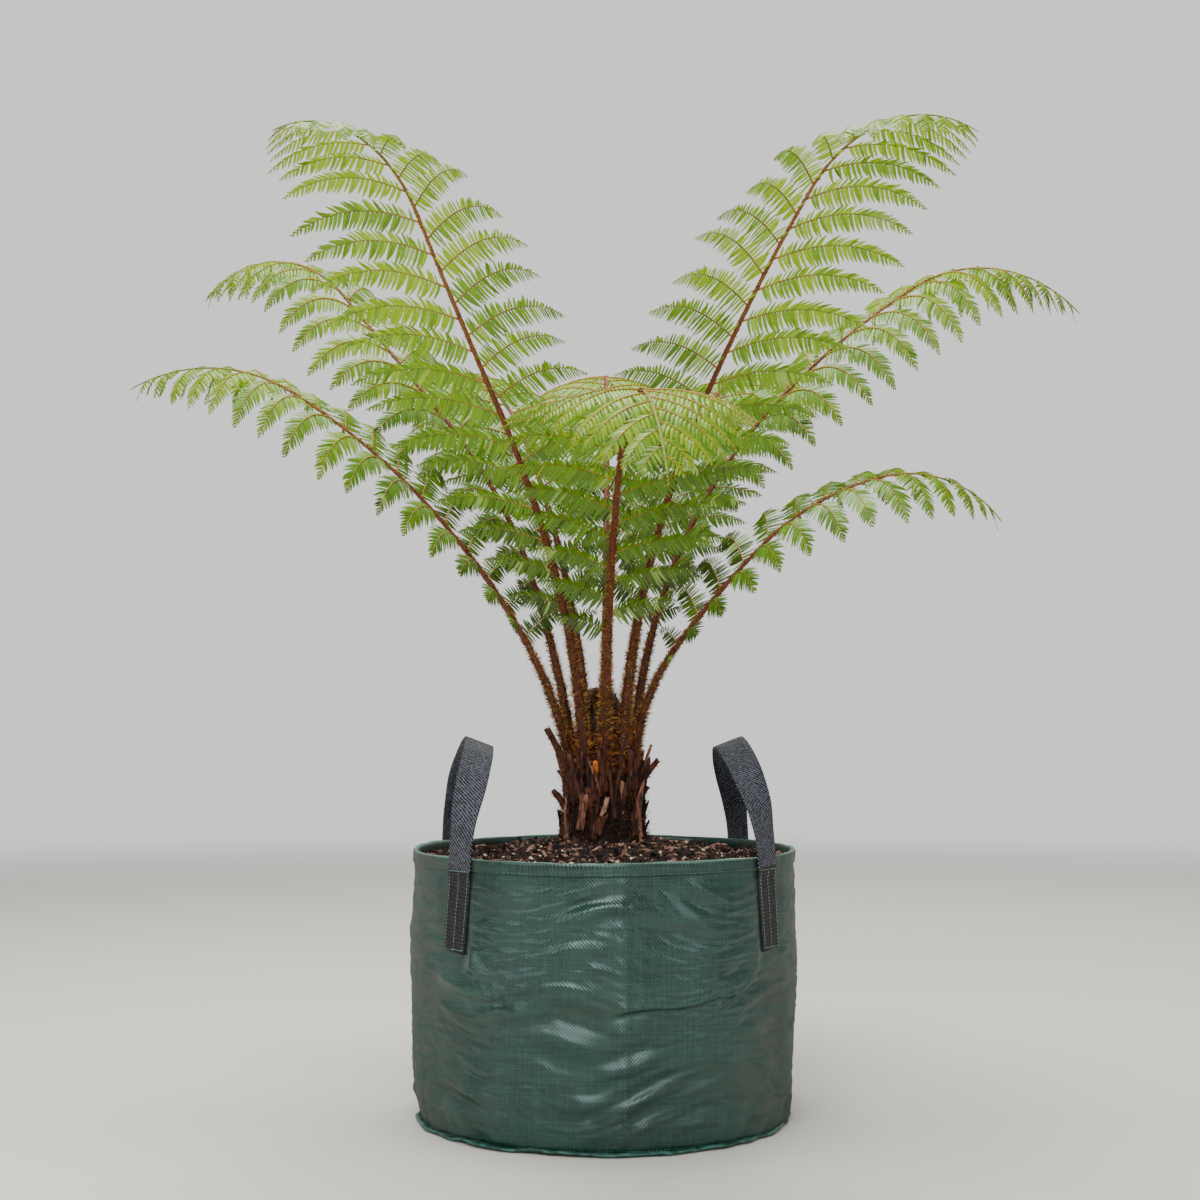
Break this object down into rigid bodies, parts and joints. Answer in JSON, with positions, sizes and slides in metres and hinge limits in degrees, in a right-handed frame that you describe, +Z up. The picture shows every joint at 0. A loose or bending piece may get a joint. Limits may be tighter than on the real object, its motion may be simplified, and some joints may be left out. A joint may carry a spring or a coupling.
{
  "type": "potted tree fern",
  "caption": "Young tree fern with arching feathery fronds on a short fibrous trunk, in a woven round planter bag with two webbing handles.",
  "frame": {"origin": "centre of the bag's flat underside", "axes": "+Z up, -Y towards the side with the frond that arches forwards, +X to the right of it"},
  "size_m": [1.2922, 1.34, 1.2018],
  "materials": {
    "woven_bag": "dark green woven plastic cloth with a soft shine",
    "webbing": "charcoal twill webbing",
    "soil": "dark bark and compost potting mix, matt",
    "trunk": "fibrous dark brown trunk, matt",
    "leaf_base": "dry grey-brown old leaf bases",
    "stalk": "red-brown stalks with golden scales",
    "blade": "mid green soft leaflets, satin"
  },
  "bodies": {
    "root": {"bag": "woven_bag", "bag_base_welt": "woven_bag", "frond_front_blade": "blade", "frond_front_stalk": "stalk", "frond_front_tip": "blade", "frond_left_high_blade": "blade", "frond_left_high_stalk": "stalk", "frond_left_high_tip": "blade", "frond_left_low_blade": "blade", "frond_left_low_stalk": "stalk", "frond_left_low_tip": "blade", "frond_left_mid_blade": "blade", "frond_left_mid_stalk": "stalk", "frond_left_mid_tip": "blade", "frond_rear_blade": "blade", "frond_rear_left_blade": "blade", "frond_rear_left_stalk": "stalk", "frond_rear_left_tip": "blade", "frond_rear_right_blade": "blade", "frond_rear_right_stalk": "stalk", "frond_rear_right_tip": "blade", "frond_rear_stalk": "stalk", "frond_rear_tip": "blade", "frond_right_high_blade": "blade", "frond_right_high_stalk": "stalk", "frond_right_high_tip": "blade", "frond_right_low_blade": "blade", "frond_right_low_stalk": "stalk", "frond_right_low_tip": "blade", "frond_right_mid_blade": "blade", "frond_right_mid_stalk": "stalk", "frond_right_mid_tip": "blade", "handle_left": "webbing", "handle_right": "webbing", "rim_hem": "woven_bag", "shoot_front": "stalk", "shoot_rear": "stalk", "soil": "soil", "stub_front_left": "leaf_base", "stub_front_right": "leaf_base", "stub_left_high": "leaf_base", "stub_left_low": "leaf_base", "stub_left_short": "leaf_base", "stub_rear": "leaf_base", "stub_rear_left": "leaf_base", "stub_rear_right": "leaf_base", "stub_right_high": "leaf_base", "stub_right_low": "leaf_base", "trunk": "trunk"}
  },
  "joints": []
}
